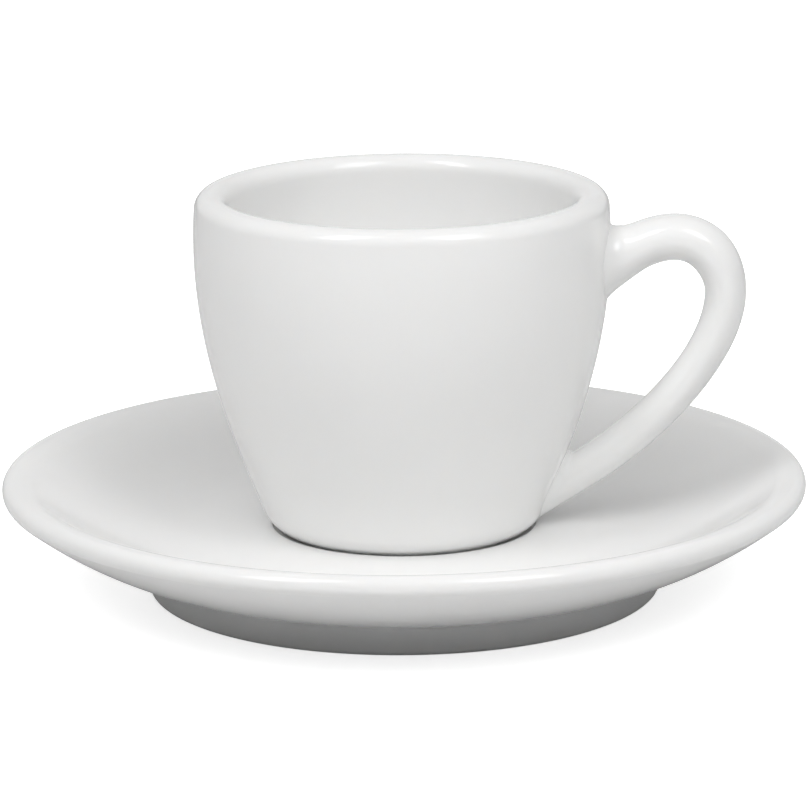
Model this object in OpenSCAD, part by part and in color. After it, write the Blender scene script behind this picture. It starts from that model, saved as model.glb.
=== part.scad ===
// Espresso cup standing on its saucer, in thick white glazed porcelain.
// Millimetres, Z up. The origin is the middle of the saucer's foot ring on the table,
// and the cup's handle points along +X.

/* [Saucer] */
// Diameter over the rim
saucer_d = 120; // [112:1:150]
// Height of the rim's crest above the table
saucer_h = 17.6; // [15:0.1:24]
// Thickness of the rounded rim
saucer_rim_t = 3.2; // [2.4:0.1:4]
// Radius of the soft roll from the rim's crest down into the dish
rim_roll = 5.5; // [4:0.1:7]
// Steepness of the dish below that roll, in degrees
dish_rise = 33; // [26:1:38]
// Steepness of the flange where it runs into the rim, in degrees
flange_rise = 38; // [30:1:44]
// Steepness of the flange where it leaves the foot ring, in degrees
flange_start = 13; // [6:1:20]
// Height of the flat well above the table
well_z = 9.6; // [8.8:0.1:11.5]
// Diameter of the flat well, where the dish begins to rise
well_d = 66; // [58:1:74]
// Diameter of the saucer's foot ring
saucer_foot_d = 76.6; // [70:0.2:84]
// Width of the foot ring where it stands on the table
saucer_foot_w = 3; // [2:0.1:5]
// Height of the foot ring on its outside
saucer_foot_h = 4.4; // [3.6:0.1:5.4]
// Radius of the fillet between the foot ring and the flange
saucer_foot_fillet = 1.2; // [0.4:0.1:2]
// Thickness of the saucer under the cup
saucer_floor_t = 4.2; // [3.4:0.1:5]

/* [Seat] */
// Depth of the round seat that keeps the cup in the middle of the saucer
seat_depth = 1; // [0.8:0.1:1.6]
// Gap between the cup's heel and the edge of the seat
seat_clear = 0.65; // [0.5:0.05:2]
// Rounding of the seat's edge and of its inner corner
seat_round = 0.25; // [0.15:0.05:0.4]

/* [Cup] */
// Height of the cup from its foot to the top of the lip
cup_h = 51.5; // [46:0.5:60]
// Diameter over the lip
cup_d = 61.4; // [56:0.2:70]
// Thickness of the rounded lip
lip_t = 4.9; // [3.5:0.1:5.6]
// Inward lean of the wall below the lip, in degrees
lip_lean = 4; // [0:0.5:8]
// Outward lean of the wall above the heel, in degrees
base_lean = 20.5; // [14:0.5:26]
// Radius of the rounded heel between the wall and the foot ring
heel_r = 5; // [4:0.1:6]
// Steepness of the heel where it leaves the foot ring, in degrees
heel_start = 12.5; // [6:0.5:20]
// Diameter of the cup's foot ring
foot_d = 35; // [32:0.2:38]
// Height of the foot ring on its outside
foot_h = 0.37; // [0.2:0.01:0.8]
// Width of the cup's foot ring
foot_w = 2.4; // [1.6:0.1:4]
// Depth of the hollow under the cup, inside its foot ring
foot_hollow = 2.2; // [1:0.1:3]
// Thickness of the cup's floor above that hollow
floor_t = 4.3; // [3.5:0.1:6]
// Diameter of the flat middle of the cup's floor
floor_d = 14; // [8:0.5:20]

/* [Handle] */
// How far the handle stands out past the lip
handle_reach = 20.2; // [16:0.2:26]
// Height of the handle's farthest point above the cup's foot
handle_z = 36.7; // [32:0.1:40]
// Height of the middle of the upper root above the cup's foot
upper_root_z = 41; // [38:0.1:42]
// Climb of the handle as it leaves the upper root, in degrees
upper_climb = 36; // [30:1:46]
// Height of the middle of the lower root above the cup's foot
lower_root_z = 6.8; // [6.4:0.1:9]
// Climb of the handle as it leaves the lower root, in degrees
lower_climb = 28; // [20:1:34]
// Thickness of the handle over its top
handle_top_t = 6.8; // [5.5:0.1:8]
// Thickness of the handle at its farthest point
handle_side_t = 6.1; // [5:0.1:8]
// Thickness of the handle above the lower root
handle_low_t = 5.7; // [4.6:0.1:6.4]
// Width of the handle across its top
handle_top_w = 9; // [7:0.1:11]
// Width of the handle above the lower root
handle_low_w = 8; // [6:0.1:10]
// Spread of the fillet of slip around the upper root
upper_fillet = 2.1; // [1:0.1:2.6]
// Spread of the fillet of slip around the lower root
lower_fillet = 0.9; // [0.5:0.1:1.4]

/* [Hidden] */
$fn = 128;

// Straight pieces in one curve of a profile, in a rounded rim or heel, and in a roll or small rounding
curve_n = 20;
rim_n = 16;
round_n = 6;
// Rings along each half of the handle, how many of them each root takes up, rings in a root's
// fillet, and points around a ring
ring_n = 26;
root_n = 3;
fillet_n = 4;
ring_sides = 24;
// Halvings by which a line is followed to the cup's wall
halvings = 20;

// Pull of each curve's two ends, as a share of the distance between them
flange_pull = 0.34;
dish_pull = 0.38;
wall_base_pull = 0.2;
wall_lip_pull = 0.45;
bowl_floor_pull = 0.64;
bowl_lip_pull = 0.74;
// Pull of the handle's curve at its upper root, over and under its side, and at its lower root
upper_pull = 0.85;
over_pull = 0.29;
under_pull = 0.24;
lower_pull = 0.39;

// Rounding of the foot rings' edges and of the corners of the hollows inside them
foot_round = 0.6;
cup_foot_round = 0.3;
hollow_round = 1.5;
// How far the foot rings' inner faces slope
foot_slope = 1.5;
// How far the fillets' edges and the handle's ends run into the wall before they are cut to it
edge_depth = 0.3;
root_depth = 1.5;
// How far a fillet lifts off the corner between the wall and the handle, as a share of its length
fillet_lift = 0.25;

// Curves of a profile, as lists of [radius, height]
function bezier(a, b, c, d, n) =
    [for (i = [0:n])
        let (t = i / n, u = 1 - t)
        u * u * u * a + 3 * u * u * t * b + 3 * u * t * t * c + t * t * t * d];
function arc(middle, r, from, to, n) =
    [for (i = [0:n])
        let (angle = from + (to - from) * i / n)
        middle + r * [cos(angle), sin(angle)]];
function heading(angle) = [cos(angle), sin(angle)];
// A curve without its first point, which the piece before it already has
function after(points) = [for (i = [1:len(points) - 1]) points[i]];
// The direction of a line, with length 1
function unit(v) = v / norm(v);
// The corner b between the lines to a and c, rounded with radius r
function rounded(a, b, c, r, n) =
    let (
        u = unit(a - b),
        v = unit(c - b),
        half = acos(u * v) / 2,
        middle = b + r / sin(half) * unit(u + v),
        first = b + r / tan(half) * u - middle,
        final = b + r / tan(half) * v - middle,
        from = atan2(first.y, first.x),
        turn = atan2(final.y, final.x) - from
    )
    arc(middle, r, from, from + turn - 360 * round(turn / 360), n);

// Cup's wall, in the cup's own heights above its foot
lip_r = lip_t / 2;
lip_middle = [cup_d / 2 - lip_r, cup_h - lip_r];
heel_middle = [foot_d / 2, foot_h] - heel_r * heading(heel_start - 90);
heel = arc(heel_middle, heel_r, heel_start - 90, -base_lean, rim_n);
heel_point = heel[rim_n];
wall_top = lip_middle + lip_r * heading(lip_lean);
wall_span = norm(wall_top - heel_point);
wall = bezier(
    heel_point,
    heel_point + wall_base_pull * wall_span * heading(90 - base_lean),
    wall_top - wall_lip_pull * wall_span * heading(90 + lip_lean),
    wall_top,
    curve_n
);
lip = arc(lip_middle, lip_r, lip_lean, 180, rim_n);
outside = concat(heel, after(wall));
// Radius of the cup's outside at a height above its foot
wall_by_height = [for (p = outside) [p.y, p.x]];
function wall_r(z) = lookup(z, wall_by_height);

// Bowl inside the cup, from the lip down to the flat floor
floor_z = foot_hollow + floor_t;
bowl_top = lip_middle - [lip_r, 0];
bowl_low = [floor_d / 2, floor_z];
bowl = bezier(
    bowl_top,
    bowl_top - [0, bowl_lip_pull * (bowl_top.y - floor_z)],
    bowl_low + [bowl_floor_pull * (bowl_top.x - bowl_low.x), 0],
    bowl_low,
    curve_n
);

// Seat of the cup in the saucer: the heel's radius at the seat's edge, and the gap around it
seat_z = well_z - seat_depth;
heel_at_edge = heel_middle.x + sqrt(pow(heel_r, 2) - pow(heel_middle.y - seat_depth, 2));
seat_r = heel_at_edge + seat_clear;

// Saucer's rim, flange and dish
rim_r = saucer_rim_t / 2;
rim_middle = [saucer_d / 2 - rim_r, saucer_h - rim_r];
foot_low = [saucer_foot_d / 2, 0];
foot_high = [saucer_foot_d / 2, saucer_foot_h];
foot_fillet = rounded(foot_low, foot_high, foot_high + heading(flange_start), saucer_foot_fillet, round_n);
flange_low = foot_fillet[round_n];
flange_high = rim_middle + rim_r * heading(flange_rise - 90);
flange_span = norm(flange_high - flange_low);
flange = bezier(
    flange_low,
    flange_low + flange_pull * flange_span * heading(flange_start),
    flange_high - flange_pull * flange_span * heading(flange_rise),
    flange_high,
    curve_n
);
rim = arc(rim_middle, rim_r, flange_rise - 90, 90, rim_n);
roll = arc(rim_middle + [0, rim_r - rim_roll], rim_roll, 90, 90 + dish_rise, round_n);
dish_high = roll[round_n];
dish_low = [well_d / 2, well_z];
dish_span = norm(dish_high - dish_low);
dish = bezier(
    dish_high,
    dish_high - dish_pull * dish_span * heading(dish_rise),
    dish_low + [dish_pull * dish_span, 0],
    dish_low,
    curve_n
);

// Middle line of the handle, as [distance from the axis, height above the cup's foot]
upper_root = [wall_r(upper_root_z), upper_root_z];
lower_root = [wall_r(lower_root_z), lower_root_z];
side = [cup_d / 2 + handle_reach - handle_side_t / 2, handle_z];
upper_span = norm(side - upper_root);
lower_span = norm(side - lower_root);
upper_half = bezier(
    upper_root,
    upper_root + upper_pull * upper_span * heading(upper_climb),
    side + [0, over_pull * upper_span],
    side,
    ring_n
);
lower_half = bezier(
    side,
    side - [0, under_pull * lower_span],
    lower_root + lower_pull * lower_span * heading(lower_climb),
    lower_root,
    ring_n
);
// Middle line of the handle between its two roots
handle_line = concat(
    [for (i = [root_n:ring_n]) upper_half[i]],
    [for (i = [1:ring_n - root_n]) lower_half[i]]
);
last = len(handle_line) - 1;

// Half the handle's thickness and width along its line, easing from one named size to the next
function ease(t) = t * t * (3 - 2 * t);
function mix(a, b, t) = a + (b - a) * ease(max(0, min(1, t)));
function half_t(s) = s < 0.5
    ? mix(handle_top_t, handle_side_t, 4 * s - 1) / 2
    : mix(handle_side_t, handle_low_t, 4 * s - 2) / 2;
function half_w(s) = mix(handle_top_w, handle_low_w, s) / 2;

// Direction of the line at its point i, and the oval ring of the handle around that point
function along(i) =
    unit(handle_line[min(i + 1, last)] - handle_line[max(i - 1, 0)]);
function ring(i) =
    let (p = handle_line[i], a = along(i), s = i / last)
    [for (k = [0:ring_sides - 1])
        let (
            angle = 360 * k / ring_sides,
            across = half_t(s) * cos(angle)
        )
        [p.x - a.y * across, half_w(s) * sin(angle), p.y + a.x * across]];

// Point where a line from p along direction d meets the cup's wall, found by halving
function wall_gap(p) = norm([p.x, p.y]) - wall_r(p.z);
function meet(p, d, near, far, n) =
    let (half = (near + far) / 2)
    n == 0 ? p + half * d :
    wall_gap(p + half * d) > 0 ? meet(p, d, half, far, n - 1) :
    meet(p, d, near, half, n - 1);
// Point inside the wall at a depth below its skin, beside the axis at y and at the height z
function below_wall(y, z, depth) = [sqrt(pow(wall_r(z) - depth, 2) - y * y), y, z];

// Rings of a root: the handle's end ring runs on to the wall and spreads along it as a fillet
function root_rings(i, root, spread) =
    let (
        p = handle_line[i],
        toward = unit(root - p),
        d = [toward.x, 0, toward.y],
        corner = [for (q = ring(i)) meet(q, d, 0, 2 * norm(root - p), halvings)],
        edge = [for (c = corner)
            let (e = [c.y, c.z] + spread * unit([c.y, c.z - root.y]))
            below_wall(e.x, e.y, edge_depth)],
        end = [for (e = edge) e - [root_depth, 0, 0]],
        lifted = [for (k = [0:ring_sides - 1]) corner[k] + fillet_lift * (ring(i)[k] - corner[k])]
    )
    concat(
        [for (step = [1:fillet_n])
            let (t = step / fillet_n)
            [for (k = [0:ring_sides - 1])
                pow(1 - t, 2) * ring(i)[k] + 2 * t * (1 - t) * lifted[k] + t * t * edge[k]]],
        [end]
    );
function reversed(list) = [for (i = [len(list) - 1:-1:0]) list[i]];
handle_rings = concat(
    reversed(root_rings(0, upper_root, upper_fillet)),
    [for (i = [0:last]) ring(i)],
    root_rings(last, lower_root, lower_fillet)
);

// Corners of the cup's foot ring and of the hollow inside it
foot_outer = [foot_d / 2, 0];
foot_inner = foot_outer - [foot_w, 0];
hollow_edge = [foot_inner.x - foot_slope, foot_hollow];

// Half-profile of the whole cup turned about its axis, outside and inside
cup_profile = concat(
    [[0, foot_hollow]],
    rounded([0, foot_hollow], hollow_edge, foot_inner, hollow_round, round_n),
    rounded(hollow_edge, foot_inner, foot_outer, cup_foot_round, round_n),
    [foot_outer],
    heel,
    after(wall),
    after(lip),
    after(bowl),
    [[0, floor_z]]
);

// Corners of the saucer's foot ring, of the hollow inside it and of the cup's seat
ceiling_z = seat_z - saucer_floor_t;
saucer_inner = foot_low - [saucer_foot_w, 0];
saucer_hollow = [saucer_inner.x - foot_slope, ceiling_z];
seat_edge = [seat_r, well_z];
seat_corner = [seat_r, seat_z];

// Half-profile of the saucer turned about its axis
saucer_profile = concat(
    [[0, ceiling_z]],
    rounded([0, ceiling_z], saucer_hollow, saucer_inner, hollow_round, round_n),
    rounded(saucer_hollow, saucer_inner, foot_low, foot_round, round_n),
    rounded(saucer_inner, foot_low, foot_high, foot_round, round_n),
    foot_fillet,
    after(flange),
    after(rim),
    after(roll),
    after(dish),
    rounded(dish_low, seat_edge, seat_corner, seat_round, round_n),
    rounded(seat_edge, seat_corner, [0, seat_z], seat_round, round_n),
    [[0, seat_z]]
);

// Saucer: a foot ring, a flange sweeping up to a rounded rim, and a flat well with the cup's seat
module saucer() {
    color("whitesmoke")
        rotate_extrude()
            polygon(saucer_profile);
}

// Cup: a thick bowl with a rounded lip, rolled in at the heel to a low foot ring
module cup_body() {
    color("white")
        translate([0, 0, seat_z])
            rotate_extrude()
                polygon(cup_profile);
}

// The cup's outside as one solid, which the ends of the handle are cut to
module cup_outside() {
    rotate_extrude()
        polygon(concat([[0, 0], foot_outer], heel, after(wall), after(lip), [[0, cup_h]]));
}

// Rings of the handle joined to one closed skin
module handle_sweep() {
    rings = len(handle_rings);
    points = [for (r = handle_rings, p = r) p];
    skin = [
        for (i = [0:rings - 2], k = [0:ring_sides - 1], half = [0, 1])
            let (
                a = i * ring_sides + k,
                b = i * ring_sides + (k + 1) % ring_sides,
                c = a + ring_sides,
                d = b + ring_sides
            )
            half == 0 ? [a, b, d] : [a, d, c]
    ];
    upper_end = [for (k = [1:ring_sides - 2]) [0, k + 1, k]];
    first = (rings - 1) * ring_sides;
    lower_end = [for (k = [1:ring_sides - 2]) [first, first + k, first + k + 1]];
    polyhedron(points, concat(skin, upper_end, lower_end), convexity = 4);
}

// Handle: an oval ear from under the lip down to the heel, its ends seated on the wall
module handle() {
    color("white")
        translate([0, 0, seat_z])
            difference() {
                handle_sweep();
                cup_outside();
            }
}

saucer();
cup_body();
handle();
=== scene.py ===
# %% [markdown]
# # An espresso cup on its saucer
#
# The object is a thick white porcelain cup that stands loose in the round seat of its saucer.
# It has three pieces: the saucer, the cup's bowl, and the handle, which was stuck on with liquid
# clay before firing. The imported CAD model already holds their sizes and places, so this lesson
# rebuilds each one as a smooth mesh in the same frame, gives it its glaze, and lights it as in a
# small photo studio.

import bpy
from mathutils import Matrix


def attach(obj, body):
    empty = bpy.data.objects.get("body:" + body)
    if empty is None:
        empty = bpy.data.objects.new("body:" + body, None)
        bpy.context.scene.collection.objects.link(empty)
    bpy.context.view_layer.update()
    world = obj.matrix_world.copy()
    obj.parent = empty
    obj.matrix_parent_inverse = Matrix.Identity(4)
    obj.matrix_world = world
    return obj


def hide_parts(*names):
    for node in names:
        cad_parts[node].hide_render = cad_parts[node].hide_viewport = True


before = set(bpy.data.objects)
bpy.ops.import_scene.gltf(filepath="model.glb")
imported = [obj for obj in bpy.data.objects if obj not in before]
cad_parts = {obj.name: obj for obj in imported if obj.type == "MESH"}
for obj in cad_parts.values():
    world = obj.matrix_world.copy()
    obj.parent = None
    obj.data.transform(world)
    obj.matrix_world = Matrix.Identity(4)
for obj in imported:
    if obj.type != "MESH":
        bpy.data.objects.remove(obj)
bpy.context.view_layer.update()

# %% [markdown]
# A plate and a bowl are turned shapes, so each starts as a half-profile: a line of points that
# runs from the axis under the foot, out over the rim and back to the axis. Such a line could be
# clicked by eye over a drawing. Here it is built from a few measured points with two kinds of
# curve between them, a free sweep and an arc, because porcelain has no straight edges and every
# corner has its own radius. All lengths below are in millimetres.

# %% Curves for the profiles
from math import acos, atan2, cos, degrees, pi, radians, sin, tan

import bmesh
import bpy
from mathutils import Matrix, Vector

MM = 0.001


def heading(angle):
    return Vector((cos(radians(angle)), sin(radians(angle))))


def sweep(a, b, c, d, count=30):
    """Points on the curve that leaves a towards b and comes into d from c."""
    points = []
    for i in range(count + 1):
        t, u = i / count, 1 - i / count
        points.append(u**3 * a + 3 * u * u * t * b + 3 * u * t * t * c + t**3 * d)
    return points


def arc(middle, radius, start, end, count=20):
    return [middle + radius * heading(start + (end - start) * i / count) for i in range(count + 1)]


def rounded(a, b, c, radius, count=8):
    """The corner b between a and c, as an arc that both lines run into."""
    u, v = (a - b).normalized(), (c - b).normalized()
    half = acos(u.dot(v)) / 2
    middle = b + (u + v).normalized() * radius / sin(half)
    first, final = b + u * radius / tan(half) - middle, b + v * radius / tan(half) - middle
    start = degrees(atan2(first.y, first.x))
    turn = degrees(atan2(final.y, final.x)) - start
    return arc(middle, radius, start, start + turn - 360 * round(turn / 360), count)


print("curves ready, lengths in mm")

# %% [markdown]
# The saucer is pressed from a slab: a foot ring, a flange that sweeps up at 13 degrees and ends
# at 38, a rim with a tight outer edge and a soft roll on the inside, a dish that falls to a flat
# well, and in the well a round seat 1 mm deep that keeps the cup in the middle. The profile goes
# round in that order. The dark line under the cup in the photograph is the shadow in this seat.

# %% Profile of the saucer
FOOT_RADIUS, FOOT_HEIGHT, FOOT_ROUNDING, FOOT_FILLET = 38.3, 4.4, 0.6, 1.2
WELL_HEIGHT, SEAT_HEIGHT, SEAT_RADIUS, SEAT_ROUNDING = 9.6, 8.6, 19.7, 0.25
RIM_RADIUS, ROLL_RADIUS = 1.6, 5.5
FLANGE_START, FLANGE_END, DISH_RISE = 13, 38, 33
HOLLOW_ROUNDING = 1.5
FLANGE_PULL, DISH_PULL = 0.34, 0.38  # how far a sweep's ends hold on, as shares of its span

foot_low, foot_high = Vector((FOOT_RADIUS, 0)), Vector((FOOT_RADIUS, FOOT_HEIGHT))
foot_inner, hollow = Vector((35.3, 0)), Vector((33.8, FOOT_HEIGHT))
ceiling = Vector((0, FOOT_HEIGHT))
rim_middle = Vector((58.4, 16.0))
well_edge = Vector((33, WELL_HEIGHT))
seat_edge, seat_corner = Vector((SEAT_RADIUS, WELL_HEIGHT)), Vector((SEAT_RADIUS, SEAT_HEIGHT))
seat_middle = Vector((0, SEAT_HEIGHT))
fillet = rounded(foot_low, foot_high, foot_high + heading(FLANGE_START), FOOT_FILLET)
flange_top = rim_middle + RIM_RADIUS * heading(FLANGE_END - 90)
flange_pull = FLANGE_PULL * (flange_top - fillet[-1]).length
roll_middle = rim_middle + Vector((0, RIM_RADIUS - ROLL_RADIUS))
roll = arc(roll_middle, ROLL_RADIUS, 90, 90 + DISH_RISE)
dish_pull = DISH_PULL * (roll[-1] - well_edge).length

saucer_profile = (
    [ceiling]
    + rounded(ceiling, hollow, foot_inner, HOLLOW_ROUNDING)
    + rounded(hollow, foot_inner, foot_low, FOOT_ROUNDING)
    + rounded(foot_inner, foot_low, foot_high, FOOT_ROUNDING)
    + fillet
    + sweep(fillet[-1], fillet[-1] + flange_pull * heading(FLANGE_START),
            flange_top - flange_pull * heading(FLANGE_END), flange_top)[1:]
    + arc(rim_middle, RIM_RADIUS, FLANGE_END - 90, 90)[1:]
    + roll[1:]
    + sweep(roll[-1], roll[-1] - dish_pull * heading(DISH_RISE),
            well_edge + Vector((dish_pull, 0)), well_edge)[1:]
    + rounded(well_edge, seat_edge, seat_corner, SEAT_ROUNDING)
    + rounded(seat_edge, seat_corner, seat_middle, SEAT_ROUNDING)
    + [seat_middle]
)
print("saucer profile:", len(saucer_profile), "points")

# %% [markdown]
# Drawing the profile by hand means placing one vertex and extruding it again and again. The
# vertex comes from a tiny plane whose corners are merged. Spin then turns the whole line once
# around the upright axis, as on a potter's wheel. Two things have to be cleaned up after a full
# turn: the last copy of the line lies on the first, and the ends on the axis are stacked points,
# so doubles are merged, and the normals are recalculated because Spin may turn the skin inside
# out.

# %% Draw a profile and turn it
def draw_profile(name, points):
    """A string of vertices in the XZ plane, extruded point by point."""
    bpy.ops.object.select_all(action="DESELECT")
    bpy.ops.mesh.primitive_plane_add(size=MM)
    piece = bpy.context.object
    piece.name = piece.data.name = name
    bpy.ops.object.mode_set(mode="EDIT")
    bpy.ops.mesh.merge(type="CENTER")
    bpy.ops.transform.translate(value=(points[0].x * MM, 0, points[0].y * MM))
    for here, there in zip(points, points[1:]):
        step = (there - here) * MM
        bpy.ops.mesh.extrude_vertices_move(TRANSFORM_OT_translate={"value": (step.x, 0, step.y)})
    return piece


def turn_profile(steps=180):
    """Spins the drawn line into a closed skin and leaves edit mode."""
    bpy.ops.mesh.select_all(action="SELECT")
    bpy.ops.mesh.spin(steps=steps, angle=2 * pi, center=(0, 0, 0), axis=(0, 0, 1))
    bpy.ops.mesh.select_all(action="SELECT")
    bpy.ops.mesh.remove_doubles(threshold=0.002 * MM)
    bpy.ops.mesh.normals_make_consistent(inside=False)
    bpy.ops.object.mode_set(mode="OBJECT")
    bpy.ops.object.shade_smooth()


saucer = draw_profile("saucer_porcelain", saucer_profile)
turn_profile()
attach(saucer, "saucer")
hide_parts("saucer")
print("saucer:", len(saucer.data.polygons), "faces")

# %% [markdown]
# The cup's bowl is formed in a spinning mould. Its wall rolls out of a low foot ring with a heel
# of 5 mm radius, leans out by about 20 degrees, bends upright and leans in by 4 degrees under the
# lip, which is nearly 5 mm thick and fully round. Inside, the wall falls to a flat floor. The same
# two helpers make it. Heights are measured from the cup's foot, so the profile is lifted by 8.6 mm
# into the saucer's seat.

# %% Profile of the cup
HEEL_RADIUS, HEEL_HEIGHT, HEEL_START, BASE_LEAN = 5, 0.37, 12.5, 20.5
LIP_RADIUS, LIP_LEAN = 2.45, 4
FLOOR_RADIUS, FLOOR_HEIGHT = 7, 6.5
CUP_FOOT_ROUNDING, CUP_EDGE_ROUNDING = 0.3, 0.15
WALL_PULL_LOW, WALL_PULL_HIGH = 0.2, 0.45
BOWL_PULL_DOWN, BOWL_PULL_OUT = 0.74, 0.64

cup_foot, cup_foot_inner = Vector((17.5, 0)), Vector((15.1, 0))
cup_hollow, cup_ceiling = Vector((13.6, 2.2)), Vector((0, 2.2))
heel_middle = cup_foot + Vector((0, HEEL_HEIGHT)) - HEEL_RADIUS * heading(HEEL_START - 90)
heel = arc(heel_middle, HEEL_RADIUS, HEEL_START - 90, -BASE_LEAN)
lip_middle = Vector((28.25, 49.05))
wall_top = lip_middle + LIP_RADIUS * heading(LIP_LEAN)
wall_span = (wall_top - heel[-1]).length
wall = sweep(heel[-1], heel[-1] + WALL_PULL_LOW * wall_span * heading(90 - BASE_LEAN),
             wall_top - WALL_PULL_HIGH * wall_span * heading(90 + LIP_LEAN), wall_top, 40)
bowl_top = lip_middle - Vector((LIP_RADIUS, 0))
bowl_floor = Vector((FLOOR_RADIUS, FLOOR_HEIGHT))
bowl_fall, bowl_run = bowl_top.y - bowl_floor.y, bowl_top.x - bowl_floor.x
bowl = sweep(bowl_top, bowl_top - Vector((0, BOWL_PULL_DOWN * bowl_fall)),
             bowl_floor + Vector((BOWL_PULL_OUT * bowl_run, 0)), bowl_floor, 40)

cup_profile = (
    [cup_ceiling]
    + rounded(cup_ceiling, cup_hollow, cup_foot_inner, HOLLOW_ROUNDING)
    + rounded(cup_hollow, cup_foot_inner, cup_foot, CUP_FOOT_ROUNDING)
    + rounded(cup_foot_inner, cup_foot, heel[0], CUP_EDGE_ROUNDING, 4)
    + heel
    + wall[1:]
    + arc(lip_middle, LIP_RADIUS, LIP_LEAN, 180, 30)[1:]
    + bowl[1:]
    + [Vector((0, FLOOR_HEIGHT))]
)
cup = draw_profile("cup_porcelain", [point + seat_middle for point in cup_profile])
turn_profile()
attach(cup, "cup")
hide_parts("cup_body")
print("cup:", len(cup_profile), "points,", len(cup.data.polygons), "faces")

# %% [markdown]
# The handle is an oval ear that was cast in its own mould. It leaves the wall below the lip,
# climbs, bends over and runs back down to the heel. Its middle line is two sweeps that meet at
# the farthest point. It could be a curve with a bevel profile, but the ear is thicker over the
# top than below and its width tapers on its own, so each place on the line gets its own
# thickness and width.

# %% Middle line of the handle
outside = heel + wall[1:]


def wall_radius(z):
    """Radius of the cup's outside at a height above its foot."""
    for low, high in zip(outside, outside[1:]):
        if low.y <= z <= high.y:
            return low.x + (high.x - low.x) * (z - low.y) / (high.y - low.y)


def wall_lean(z):
    """Outward lean of the wall at a height, in degrees."""
    step = 0.3
    return degrees(atan2(wall_radius(z + step) - wall_radius(z - step), 2 * step))


UPPER_HEIGHT, UPPER_CLIMB = 41.0, 36
LOWER_HEIGHT, LOWER_CLIMB = 6.8, 28
CUP_RADIUS, HANDLE_REACH, SIDE_HEIGHT = 30.7, 20.2, 36.7
TOP_THICK, SIDE_THICK, LOW_THICK = 6.8, 6.1, 5.7
TOP_WIDE, LOW_WIDE = 9, 8
UPPER_PULL, UPPER_SIDE_PULL = 0.85, 0.29
LOWER_PULL, LOWER_SIDE_PULL = 0.39, 0.24
HALF_STEPS = 16

upper_root = Vector((wall_radius(UPPER_HEIGHT), UPPER_HEIGHT))
lower_root = Vector((wall_radius(LOWER_HEIGHT), LOWER_HEIGHT))
side = Vector((CUP_RADIUS + HANDLE_REACH - SIDE_THICK / 2, SIDE_HEIGHT))
upper_span, lower_span = (side - upper_root).length, (side - lower_root).length
upper_half = sweep(upper_root, upper_root + UPPER_PULL * upper_span * heading(UPPER_CLIMB),
                   side + Vector((0, UPPER_SIDE_PULL * upper_span)), side, HALF_STEPS)
lower_half = sweep(side, side - Vector((0, LOWER_SIDE_PULL * lower_span)),
                   lower_root + LOWER_PULL * lower_span * heading(LOWER_CLIMB), lower_root,
                   HALF_STEPS)
handle_line = upper_half[2:] + lower_half[1:-2]
print("handle line:", len(handle_line), "rings, out to", round(side.x + SIDE_THICK / 2, 2), "mm")

# %% [markdown]
# The handle is modelled as a cage of few points, which Subdivision Surface then rounds: one
# circle of 16 corners, extruded, moved, tilted and resized from ring to ring. A cage shrinks a
# little when it is rounded, so every ring is drawn 2.5 % larger. With no window open, the rotate
# operator turns against its usual sense, which here is from X towards Z.

# %% Extrude the handle ring by ring
SWELL = 1.025


def ease(a, b, t):
    """A size that leaves a and comes into b without a kink."""
    t = max(0, min(1, t))
    return a + (b - a) * t * t * (3 - 2 * t)


def thickness(s):
    """Thickness at a share of the line: down to the side in its first half, then to the root."""
    if s < 0.5:
        return ease(TOP_THICK, SIDE_THICK, 4 * s - 1)
    return ease(SIDE_THICK, LOW_THICK, 4 * s - 2)


def place(point):
    """A point of the line, given over the cup's foot, as a place in the scene."""
    return Vector((point.x, 0, point.y + SEAT_HEIGHT)) * MM


def line_tilt(i):
    """Direction of the line in degrees, counted on below -180 past the handle's side."""
    run = handle_line[min(i + 1, len(handle_line) - 1)] - handle_line[max(i - 1, 0)]
    angle = degrees(atan2(run.y, run.x))
    return angle - 360 if angle > 90 else angle


def add_ring(ring):
    """The first ring of the cage: a circle set across the line."""
    at, tilt, thick, wide = ring
    bpy.ops.object.select_all(action="DESELECT")
    bpy.ops.mesh.primitive_circle_add(vertices=16, radius=thick / 2 * MM, location=place(at),
                                      rotation=(0, radians(90 - tilt), 0))
    bpy.ops.object.transform_apply(location=True, rotation=True, scale=True)
    bpy.ops.object.mode_set(mode="EDIT")
    bpy.ops.transform.resize(value=(1, wide / thick, 1), center_override=place(at))
    return bpy.context.object


def carry_on(old, new):
    """Extrudes the selected ring and gives it the next place, tilt, thickness and width."""
    centre = place(new[0])
    bpy.ops.mesh.extrude_region_move(TRANSFORM_OT_translate={"value": centre - place(old[0])})
    bpy.ops.transform.rotate(value=radians(new[1] - old[1]), orient_axis="Y",
                             center_override=centre)
    thicker, wider = new[2] / old[2], new[3] / old[3]
    bpy.ops.transform.resize(value=(thicker, wider, thicker), center_override=centre)


rings = []
for i, point in enumerate(handle_line):
    s = i / (len(handle_line) - 1)
    rings.append((point, line_tilt(i), thickness(s) * SWELL, ease(TOP_WIDE, LOW_WIDE, s) * SWELL))
handle = add_ring(rings[0])
handle.name = handle.data.name = "handle_porcelain"
for old, new in zip(rings, rings[1:]):
    carry_on(old, new)
print("handle cage:", len(handle.data.vertices), "points before its roots")

# %% [markdown]
# Each end of the ear was wetted with slip and pressed on the wall, and the slip squeezed out into
# a small fillet. The cage shows it with four more rings: one half-way that turns from the ear
# towards the wall, one just off the wall, one on the wall and wider by the fillet, and one wider
# still and slightly under the wall's skin, where the end is closed. The upper root also swells
# before it gets there, because the ear leaves the wall level and only then climbs; the lower one
# runs in straight. The last two rings of each root go into vertex groups for the next step.

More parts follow.
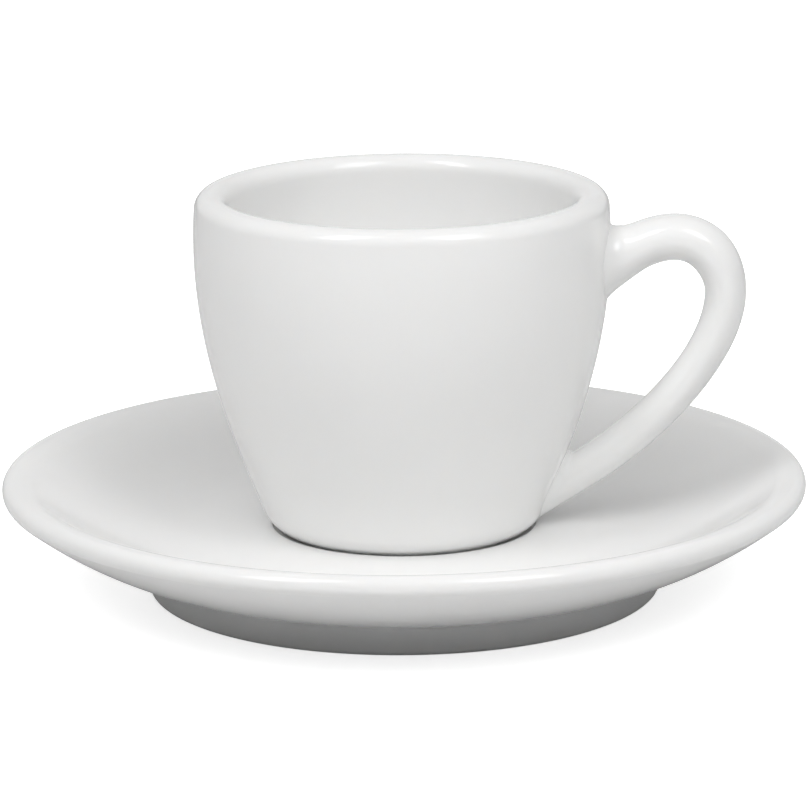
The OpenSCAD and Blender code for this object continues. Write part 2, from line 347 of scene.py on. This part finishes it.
# %% Flare the handle's two roots
def join_group(name):
    """Puts the selected ring into a vertex group."""
    group = handle.vertex_groups.get(name) or handle.vertex_groups.new(name=name)
    handle.vertex_groups.active_index = group.index
    bpy.ops.object.vertex_group_assign()


TUCK = 2.4
RING_FLATNESS, RING_REACH = 0.01, 7


def flare(end, root, outward, slip, lift, fuller):
    """Carries the selected end ring on to the wall, whose skin faces the outward direction.

    The slip spreads by so much, the last free ring is lifted off the wall, and that ring is
    fuller than the ear.
    """
    point, tilt, thick, wide = end
    toward = (root - point).normalized()
    normal = heading(outward)
    off_wall = root + toward * lift / toward.dot(normal)
    turn = outward - tilt
    if abs(turn) > 90:
        turn += 180 if turn < 0 else -180
    tall = thick / cos(radians(turn))
    half_way = (point.lerp(off_wall, 0.5), tilt + turn / 2,
                thick / cos(radians(turn / 2)) + 0.4 * fuller, wide + 0.2 * fuller)
    corner = (off_wall, tilt + turn, tall + fuller, wide + 0.5 * fuller)
    edge = (root, tilt + turn, tall + 1.5 * slip, wide + 2 * slip)
    under = (root, tilt + turn, edge[2] + TUCK, edge[3] + TUCK)
    carry_on(end, half_way)
    carry_on(half_way, corner)
    carry_on(corner, edge)
    join_group("on_the_wall")
    carry_on(edge, under)
    join_group("under_the_skin")
    bpy.ops.mesh.edge_face_add()


def select_ring(ring):
    """Selects the cage's points that lie on a ring, by their place."""
    centre, across = place(ring[0]), heading(ring[1])
    mesh = bmesh.from_edit_mesh(handle.data)
    for vert in mesh.verts:
        out = vert.co - centre
        off_plane = abs(out.x * across.x + out.z * across.y)
        vert.select = off_plane < RING_FLATNESS * MM and out.length < RING_REACH * MM
    mesh.select_flush_mode()
    bmesh.update_edit_mesh(handle.data)


flare(rings[-1], lower_root, -wall_lean(LOWER_HEIGHT), slip=0.9, lift=0.6, fuller=0)
bpy.ops.mesh.select_all(action="DESELECT")
select_ring(rings[0])
flare(rings[0], upper_root, -wall_lean(UPPER_HEIGHT), slip=2.1, lift=1.2, fuller=2.0)
bpy.ops.mesh.select_all(action="SELECT")
bpy.ops.mesh.normals_make_consistent(inside=False)
bpy.ops.object.mode_set(mode="OBJECT")
print("handle cage:", len(handle.data.vertices), "points with its roots")

# %% [markdown]
# Those last rings are flat, but the wall is round. A Shrinkwrap modifier lays each vertex group
# on the cup, one a hair above the skin and one under it, so that no gap shows. It comes before
# Subdivision Surface, which then rounds cage and fillets together.

# %% Lay the roots on the wall and round the cage
ABOVE_SKIN, UNDER_SKIN = 0.05, -0.2


def finish_with(piece, kind, **settings):
    """Adds a modifier with these settings and applies it."""
    bpy.ops.object.modifier_add(type=kind)
    modifier = piece.modifiers[-1]
    for key, value in settings.items():
        setattr(modifier, key, value)
    bpy.ops.object.modifier_apply(modifier=modifier.name)


finish_with(handle, "SHRINKWRAP", target=cup, vertex_group="on_the_wall",
            wrap_method="NEAREST_SURFACEPOINT", wrap_mode="ABOVE_SURFACE", offset=ABOVE_SKIN * MM)
finish_with(handle, "SHRINKWRAP", target=cup, vertex_group="under_the_skin",
            wrap_method="NEAREST_SURFACEPOINT", wrap_mode="ABOVE_SURFACE", offset=UNDER_SKIN * MM)
finish_with(handle, "SUBSURF", levels=2, render_levels=2)
bpy.ops.object.shade_smooth()
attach(handle, "cup")
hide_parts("handle")
print("handle:", len(handle.data.polygons), "faces")

# %% [markdown]
# The glaze is a thin coat of glass over white clay: nearly white, very smooth, and never quite
# even. One flat colour with one roughness would look like plastic, so slow noise in Object
# coordinates shifts the tone by under two parts in a hundred and lets the gloss wander a little,
# and a bump of a few millimetres in length gives the faint waves that real glaze sets with.
# The light that gets a millimetre into the clay before it comes back is a small share of
# subsurface scattering, the same all over, so it is set on the shader's own sockets.

# %% Glaze
NOISE_LOW, NOISE_HIGH = 0.3, 0.7  # where most of a noise texture's values lie
GLAZE_DARK, GLAZE_LIGHT = (0.89, 0.89, 0.885), (0.905, 0.905, 0.90)


def new_material(name):
    """A material with only a Principled shader and its output, and a way to add nodes."""
    material = bpy.data.materials.new(name)
    material.use_nodes = True
    return material, material.node_tree.nodes, material.node_tree.links


def noise(nodes, links, coordinates, size_mm, detail):
    """Noise whose blotches are about so many millimetres long."""
    node = nodes.new("ShaderNodeTexNoise")
    node.inputs["Scale"].default_value = 1 / (size_mm * MM)
    node.inputs["Detail"].default_value = detail
    links.new(coordinates, node.inputs["Vector"])
    return node.outputs["Fac"]


def ramp(nodes, links, factor, dark, light):
    """Colours between two tones, spread over the noise's usual range."""
    node = nodes.new("ShaderNodeValToRGB")
    low, high = node.color_ramp.elements
    low.position, high.position = NOISE_LOW, NOISE_HIGH
    low.color, high.color = (*dark, 1), (*light, 1)
    links.new(factor, node.inputs["Fac"])
    return node.outputs["Color"]


def spread(nodes, links, factor, low, high):
    """A number between two ends, spread over the noise's usual range."""
    node = nodes.new("ShaderNodeMapRange")
    node.inputs["From Min"].default_value = NOISE_LOW
    node.inputs["From Max"].default_value = NOISE_HIGH
    node.inputs["To Min"].default_value = low
    node.inputs["To Max"].default_value = high
    links.new(factor, node.inputs["Value"])
    return node.outputs["Result"]


def bump(nodes, links, height, depth_mm, strength):
    node = nodes.new("ShaderNodeBump")
    node.inputs["Distance"].default_value = depth_mm * MM
    node.inputs["Strength"].default_value = strength
    links.new(height, node.inputs["Height"])
    return node.outputs["Normal"]


def glaze(name, dark, light):
    material, nodes, links = new_material(name)
    shader = nodes["Principled BSDF"]
    place_on_piece = nodes.new("ShaderNodeTexCoord").outputs["Object"]
    slow = noise(nodes, links, place_on_piece, size_mm=22, detail=2)
    links.new(ramp(nodes, links, slow, dark, light), shader.inputs["Base Color"])
    patches = noise(nodes, links, place_on_piece, size_mm=9, detail=3)
    gloss = spread(nodes, links, patches, low=0.08, high=0.12)
    links.new(gloss, shader.inputs["Roughness"])
    waves = noise(nodes, links, place_on_piece, size_mm=5, detail=1)
    relief = bump(nodes, links, waves, depth_mm=0.012, strength=0.5)
    links.new(relief, shader.inputs["Normal"])
    shader.inputs["IOR"].default_value = 1.5
    shader.inputs["Subsurface Weight"].default_value = 0.12
    shader.inputs["Subsurface Radius"].default_value = (1.0, 0.9, 0.8)
    shader.inputs["Subsurface Scale"].default_value = MM
    return material


saucer.data.materials.append(glaze("saucer_glaze", GLAZE_DARK, GLAZE_LIGHT))
cup_glaze = glaze("cup_glaze", GLAZE_DARK, GLAZE_LIGHT)
cup.data.materials.append(cup_glaze)
handle.data.materials.append(cup_glaze)
print("glaze on saucer, cup and handle")

# %% [markdown]
# A glazed foot would stick to the kiln shelf, so the glaze is wiped off the two foot rings and
# the bare clay shows there: matt, a little creamier, and grainy. The faces of the rings' flat
# undersides are picked by their place and given this second finish.

# %% Bare clay on the foot rings
def bare_clay(name):
    material, nodes, links = new_material(name)
    shader = nodes["Principled BSDF"]
    place_on_piece = nodes.new("ShaderNodeTexCoord").outputs["Object"]
    patches = noise(nodes, links, place_on_piece, size_mm=6, detail=4)
    links.new(ramp(nodes, links, patches, (0.66, 0.63, 0.58), (0.75, 0.73, 0.69)),
              shader.inputs["Base Color"])
    matt = spread(nodes, links, patches, low=0.7, high=0.9)
    links.new(matt, shader.inputs["Roughness"])
    grain = noise(nodes, links, place_on_piece, size_mm=0.5, detail=4)
    relief = bump(nodes, links, grain, depth_mm=0.03, strength=0.6)
    links.new(relief, shader.inputs["Normal"])
    return material


def wipe_foot(piece, material, low, high, inner, outer):
    """Gives the second finish to the faces between two heights and two radii."""
    piece.data.materials.append(material)
    count = 0
    for face in piece.data.polygons:
        radius = Vector(face.center[:2]).length / MM
        if low < face.center.z / MM < high and inner < radius < outer:
            face.material_index = 1
            count += 1
    return count


clay = bare_clay("bare_clay")
saucer_bare = wipe_foot(saucer, clay, low=-1, high=0.12, inner=34, outer=39)
cup_bare = wipe_foot(cup, clay, low=8, high=8.72, inner=14, outer=18)
print("bare faces:", saucer_bare, "under the saucer,", cup_bare, "under the cup")

# %% [markdown]
# The set stands on a white table, and a large floor is enough for it, because the camera looks down
# on it and never sees its edge. In the photograph the background is burnt out to pure white while
# the saucer's foot stays dark, so the table can't simply be brighter: it would shine up into the
# foot. The Light Path node keeps the two apart. Rays from the camera meet a table that glows a
# little, and all other rays meet plain white paper. The floor isn't part of the object.

# %% Floor
bpy.ops.object.select_all(action="DESELECT")
bpy.ops.mesh.primitive_plane_add(size=8)
floor = bpy.context.object
floor.name = floor.data.name = "floor"
table, nodes, links = new_material("white_table")
paper = nodes["Principled BSDF"]
paper.inputs["Base Color"].default_value = (0.78, 0.78, 0.78, 1)
paper.inputs["Roughness"].default_value = 0.7
glow = nodes.new("ShaderNodeEmission")
glow.inputs["Strength"].default_value = 0.7
glowing = nodes.new("ShaderNodeAddShader")
links.new(paper.outputs["BSDF"], glowing.inputs[0])
links.new(glow.outputs["Emission"], glowing.inputs[1])
seen = nodes.new("ShaderNodeMixShader")
links.new(nodes.new("ShaderNodeLightPath").outputs["Is Camera Ray"], seen.inputs["Fac"])
links.new(paper.outputs["BSDF"], seen.inputs[1])
links.new(glowing.outputs["Shader"], seen.inputs[2])
links.new(seen.outputs["Shader"], nodes["Material Output"].inputs["Surface"])
floor.data.materials.append(table)
print("floor:", floor.dimensions[:2])

# %% [markdown]
# The highlights tell where the lamps were. Every rim carries two bright dashes with a gap between
# them, one on each side of the middle: that is a pair of long strips above and in front of the
# table. The soft shadow straight under the handle shows that much of the light comes from larger
# panels around them. These could be modelled as white walls, but lamps are easier to balance, and
# they are left out of the glaze's reflections, where the photograph has only the two dashes. The
# pale edges of dish and lip mirror a white wall behind the set. It is painted into the room's
# background: bright at the horizon behind the cup, fading upwards, and dark towards the camera.

# %% Lamps and room
def soft_box(name, at, size, power, mirrored=True):
    """An area lamp that faces the cup, and that the glaze may or may not mirror."""
    bpy.ops.object.select_all(action="DESELECT")
    aim = (Vector((0, 0, 0.03)) - Vector(at)).to_track_quat("-Z", "Y").to_euler()
    bpy.ops.object.light_add(type="AREA", location=at, rotation=aim)
    lamp = bpy.context.object
    lamp.name = lamp.data.name = name
    lamp.data.shape = "RECTANGLE"
    lamp.data.size, lamp.data.size_y = size
    lamp.data.energy = power
    lamp.visible_glossy = mirrored


soft_box("left_strip", (-0.41, -0.45, 0.95), (0.25, 0.62), 2.7)
soft_box("right_strip", (0.475, -0.45, 0.95), (0.37, 0.62), 3.0)
soft_box("top_panel", (0.05, -0.72, 0.92), (1.6, 0.40), 6.4, mirrored=False)
soft_box("front_panel", (0.05, -0.95, 0.70), (1.6, 0.32), 1.8, mirrored=False)
soft_box("left_panel", (-1.1, 0.0, 0.70), (1.0, 0.8), 2.2, mirrored=False)
soft_box("right_panel", (1.1, 0.0, 0.70), (1.0, 0.8), 1.5, mirrored=False)
soft_box("back_panel", (0.0, 0.5, 1.00), (1.6, 0.8), 1.65, mirrored=False)

ROOM_HEIGHTS, ROOM_LEVELS = (0, 0.5, 1), (0.78, 0.32, 0)
world = bpy.data.worlds.new("room")
world.use_nodes = True
nodes, links = world.node_tree.nodes, world.node_tree.links
direction = nodes.new("ShaderNodeSeparateXYZ")
links.new(nodes.new("ShaderNodeTexCoord").outputs["Generated"], direction.inputs["Vector"])
upwards = nodes.new("ShaderNodeValToRGB")
upwards.color_ramp.elements.new(1)
for element, position, level in zip(upwards.color_ramp.elements, ROOM_HEIGHTS, ROOM_LEVELS):
    element.position, element.color = position, (level, level, level, 1)
backwards = nodes.new("ShaderNodeMapRange")
backwards.inputs["From Max"].default_value = 0.8
links.new(direction.outputs["Z"], upwards.inputs["Fac"])
links.new(direction.outputs["Y"], backwards.inputs["Value"])
links.new(upwards.outputs["Color"], nodes["Background"].inputs["Color"])
links.new(backwards.outputs["Result"], nodes["Background"].inputs["Strength"])
bpy.context.scene.world = world
bpy.context.scene.view_settings.view_transform = "Standard"
print("lamps:", [lamp.name for lamp in bpy.data.lights])

# %% [markdown]
# The camera was worked out from the photograph: the ellipses of the saucer's and the cup's rims
# give a view from 14 degrees above the table with a long lens, and the handle is turned 5 degrees
# towards it. The photographer held the camera half a degree off level, which shows in the rims.

# %% Camera
ELEVATION, AZIMUTH, DISTANCE, ROLL = 13.99, 5.0, 0.7, -0.46
SENSOR, FOCAL_PIXELS, PHOTO_PIXELS = 36, 4692, 810
TARGET_HEIGHT, TARGET_SHIFT = 0.02741, 0.00025
right = Vector((cos(radians(AZIMUTH)), sin(radians(AZIMUTH)), 0))
back = Vector((sin(radians(AZIMUTH)), -cos(radians(AZIMUTH)), 0))
target = Vector((0, 0, TARGET_HEIGHT)) + right * TARGET_SHIFT
eye = target + DISTANCE * (back * cos(radians(ELEVATION)) + Vector((0, 0, sin(radians(ELEVATION)))))
turn = (target - eye).to_track_quat("-Z", "Y").to_matrix() @ Matrix.Rotation(radians(ROLL), 3, "Z")
bpy.ops.object.select_all(action="DESELECT")
bpy.ops.object.camera_add(location=eye, rotation=turn.to_euler())
camera = bpy.context.object
camera.data.sensor_width = SENSOR
camera.data.lens = SENSOR * FOCAL_PIXELS / PHOTO_PIXELS
bpy.context.scene.camera = camera
print("camera at", [round(c, 4) for c in eye], "lens", round(camera.data.lens, 1), "mm")
